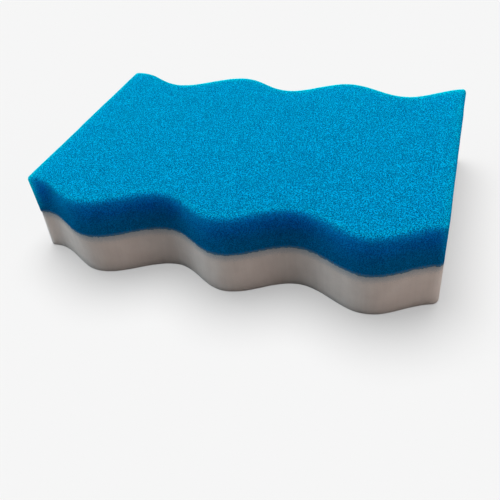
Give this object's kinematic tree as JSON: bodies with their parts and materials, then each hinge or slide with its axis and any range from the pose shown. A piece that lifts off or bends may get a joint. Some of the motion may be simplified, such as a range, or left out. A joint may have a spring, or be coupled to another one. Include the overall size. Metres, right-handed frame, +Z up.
{
  "type": "filter sponge",
  "caption": "Flat foam pad with wavy long sides and straight ends: coarse blue open-cell foam bonded over finer white foam.",
  "frame": {"origin": "centre of the underside, in the middle of the bounding box, on the surface that the pad lies on", "axes": "+X along the pad from straight end to straight end, +Y across it from wavy side to wavy side, +Z up through the coarse blue face"},
  "size_m": [0.11, 0.0746, 0.024],
  "materials": {
    "coarse_foam": "matte, open-cell foam with cells of about 0.4 mm",
    "fine_foam": "matte, fine-pored foam",
    "adhesive": "translucent hot-melt web"
  },
  "bodies": {
    "root": {"coarse_foam_layer": "coarse_foam", "adhesive_web": "adhesive", "fine_foam_layer": "fine_foam"}
  },
  "joints": []
}
